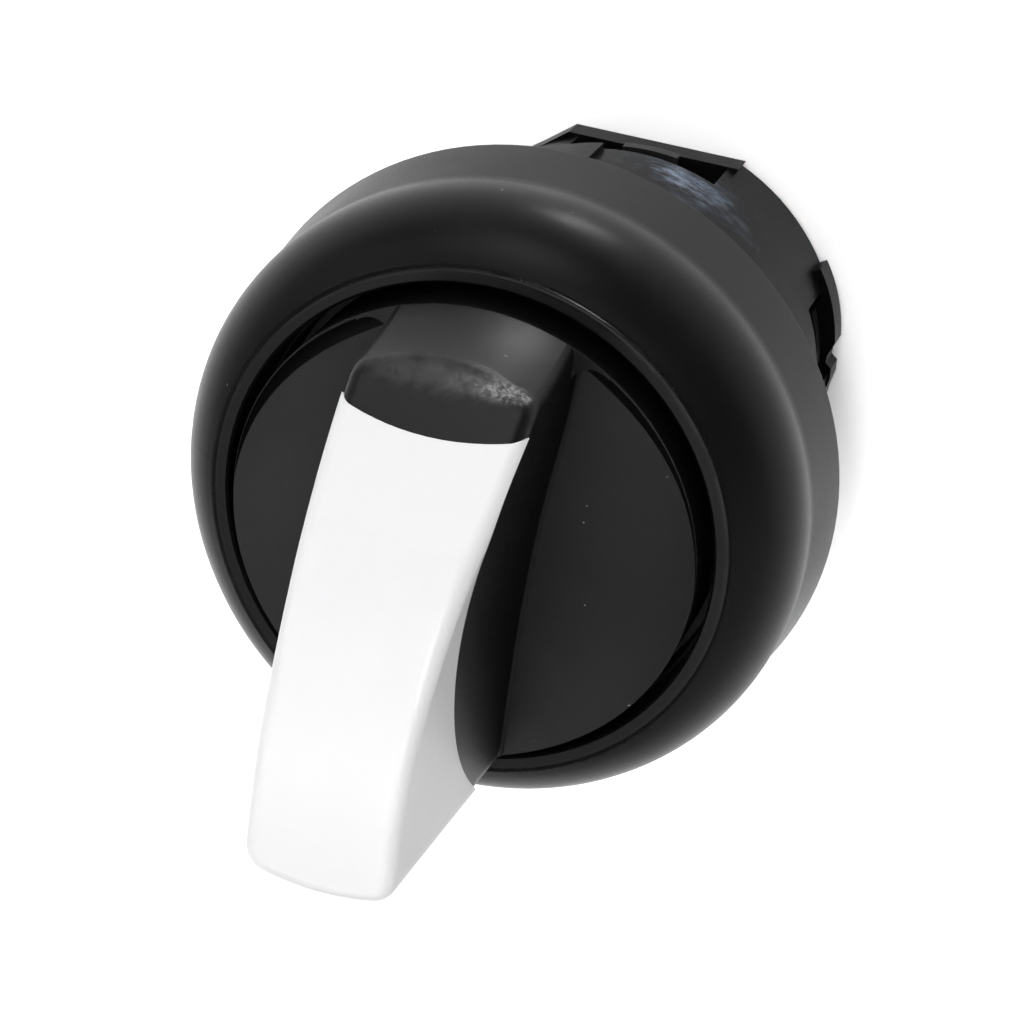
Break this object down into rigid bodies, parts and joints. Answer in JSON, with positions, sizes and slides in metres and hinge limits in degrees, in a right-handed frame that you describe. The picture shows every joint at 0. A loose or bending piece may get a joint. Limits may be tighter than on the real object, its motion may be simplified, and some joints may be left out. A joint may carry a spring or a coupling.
{
  "type": "selector switch operator",
  "caption": "Panel-mounted rotary changeover switch operator: black bezel ring, turning disc with a tall domed grip and white cap, detents, cam drum and rear pushers.",
  "frame": {"origin": "centre of the 22 mm mounting hole, on the panel's front face (the gasket's rear face)", "axes": "+Z along the switch axis out of the front of the panel; +Y the way the handle points at position 0; +X right, seen from the front"},
  "size_m": [0.03, 0.03, 0.0442],
  "materials": {
    "bezel_black": "satin moulded",
    "rotor_black": "satin moulded",
    "housing_black": "satin moulded",
    "cap_white": "semi-gloss moulded",
    "seal_rubber": "matte",
    "detent_plastic": "natural acetal",
    "drum_plastic": "grey acetal",
    "guide_plastic": "satin moulded",
    "pusher_plastic": "natural acetal",
    "ball_steel": "polished",
    "spring_steel": "drawn wire",
    "plated_steel": "zinc plated"
  },
  "bodies": {
    "housing": {"bezel_ring": "bezel_black", "housing_barrel": "housing_black", "panel_gasket": "seal_rubber", "lip_seal": "seal_rubber", "detent_ring": "detent_plastic", "guide_plate": "guide_plastic", "pusher_spring_right": "spring_steel", "pusher_spring_left": "spring_steel"},
    "rotor": {"handle_rotor": "rotor_black", "grip_cap": "cap_white", "hub_oring": "seal_rubber", "cam_drum": "drum_plastic", "hub_screw": "plated_steel", "hub_washer": "plated_steel", "detent_spring_right": "spring_steel", "detent_spring_left": "spring_steel"},
    "pusher_right": {"pusher_right": "pusher_plastic"},
    "pusher_left": {"pusher_left": "pusher_plastic"},
    "detent_ball_right": {"detent_ball_right": "ball_steel"},
    "detent_ball_left": {"detent_ball_left": "ball_steel"}
  },
  "joints": [
    {"name": "handle_turn", "type": "hinge", "parent": "housing", "child": "rotor", "pos_m": [0, 0, 0], "axis": [0, 0, 1], "range_deg": [-45, 45]},
    {"name": "pusher_right_slide", "type": "slide", "parent": "housing", "child": "pusher_right", "axis": [0, 0, -1], "range_m": [-0.002, 0.002], "deforming": ["pusher_spring_right"]},
    {"name": "pusher_left_slide", "type": "slide", "parent": "housing", "child": "pusher_left", "axis": [0, 0, -1], "range_m": [-0.002, 0.002], "deforming": ["pusher_spring_left"]},
    {"name": "detent_ball_right_slide", "type": "slide", "parent": "rotor", "child": "detent_ball_right", "axis": [0, 0, 1], "range_m": [0, 0.0005], "deforming": ["detent_spring_right"]},
    {"name": "detent_ball_left_slide", "type": "slide", "parent": "rotor", "child": "detent_ball_left", "axis": [0, 0, 1], "range_m": [0, 0.0005], "deforming": ["detent_spring_left"]}
  ],
  "couplings": [
    {"joint": "pusher_right_slide", "follows": "handle_turn", "m_per_rad": 0.0025465},
    {"joint": "pusher_left_slide", "follows": "handle_turn", "m_per_rad": -0.0025465}
  ]
}
